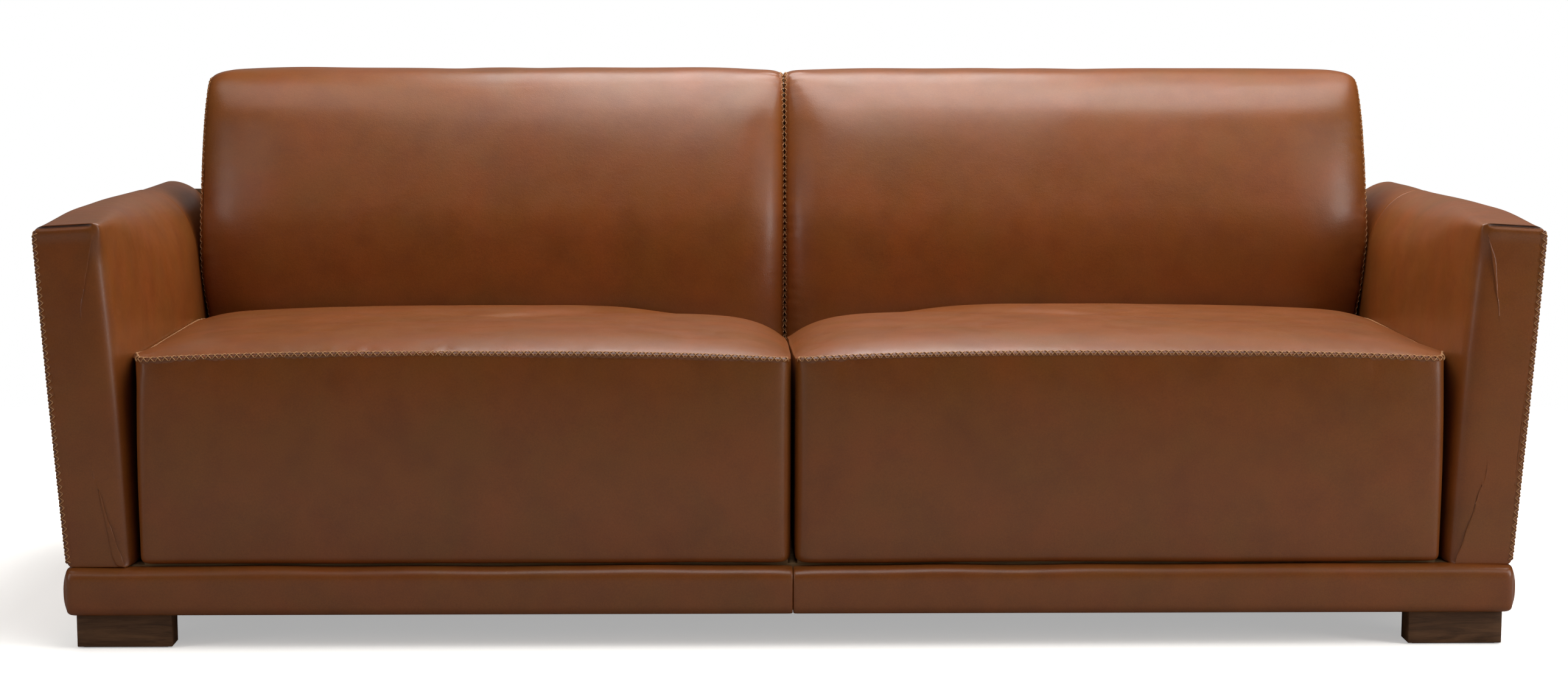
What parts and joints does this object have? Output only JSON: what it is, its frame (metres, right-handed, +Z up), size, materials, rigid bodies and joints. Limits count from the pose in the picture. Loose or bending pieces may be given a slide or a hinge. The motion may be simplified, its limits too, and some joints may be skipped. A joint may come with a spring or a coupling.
{
  "type": "two-seat sofa",
  "caption": "Leather sofa with fixed, crowned seat and back cushions between slab arms that lean outwards, on a padded plinth with low, wide wooden block legs.",
  "frame": {"origin": "middle of the footprint, on the floor", "axes": "+X to the right when facing the sofa, -Y is the front, +Z is up"},
  "size_m": [2.1974, 0.92, 0.826],
  "materials": {
    "leather": "semi-aniline cognac leather, satin, fine pebble grain",
    "thread": "thick waxed tan thread, cross-stitched",
    "leg_wood": "dark walnut stain, satin",
    "frame_timber": "bare sawn timber",
    "fibreboard": "plain hardboard",
    "foam": "open-cell foam",
    "webbing": "woven elastic webbing",
    "steel": "zinc-plated",
    "felt": "pressed felt",
    "lining": "black non-woven lining"
  },
  "bodies": {
    "root": {"leg_front_left": "leg_wood", "leg_front_right": "leg_wood", "leg_rear_left": "leg_wood", "leg_rear_right": "leg_wood", "leg_centre": "leg_wood", "floor_pads": "felt", "leg_bolts": "steel", "base_front_rail": "frame_timber", "base_rear_rail": "frame_timber", "base_end_rails": "frame_timber", "base_cross_rails": "frame_timber", "corner_blocks": "frame_timber", "plinth_front": "leather", "plinth_left": "leather", "plinth_right": "leather", "plinth_rear": "leather", "dust_cover": "lining", "seat_frame_left": "frame_timber", "seat_frame_right": "frame_timber", "seat_webbing_left": "webbing", "seat_webbing_right": "webbing", "seat_foam_left": "foam", "seat_foam_right": "foam", "seat_cushion_left": "leather", "seat_cushion_right": "leather", "seat_bolts": "steel", "back_posts": "frame_timber", "back_top_rail": "frame_timber", "back_webbing_left": "webbing", "back_webbing_right": "webbing", "back_foam_left": "foam", "back_foam_right": "foam", "back_cushion_left": "leather", "back_cushion_right": "leather", "joining_plates": "steel", "plate_screws": "steel", "wall_top_pad": "leather", "back_board": "fibreboard", "outer_back": "leather", "arm_frame_left": "frame_timber", "arm_frame_right": "frame_timber", "arm_panels_left": "fibreboard", "arm_panels_right": "fibreboard", "arm_foam_left": "foam", "arm_foam_right": "foam", "arm_cover_left": "leather", "arm_cover_right": "leather", "arm_facing_left": "leather", "arm_facing_right": "leather", "arm_wing_left": "leather", "arm_wing_right": "leather", "arm_bolts": "steel", "arm_washers": "steel"}
  },
  "joints": []
}
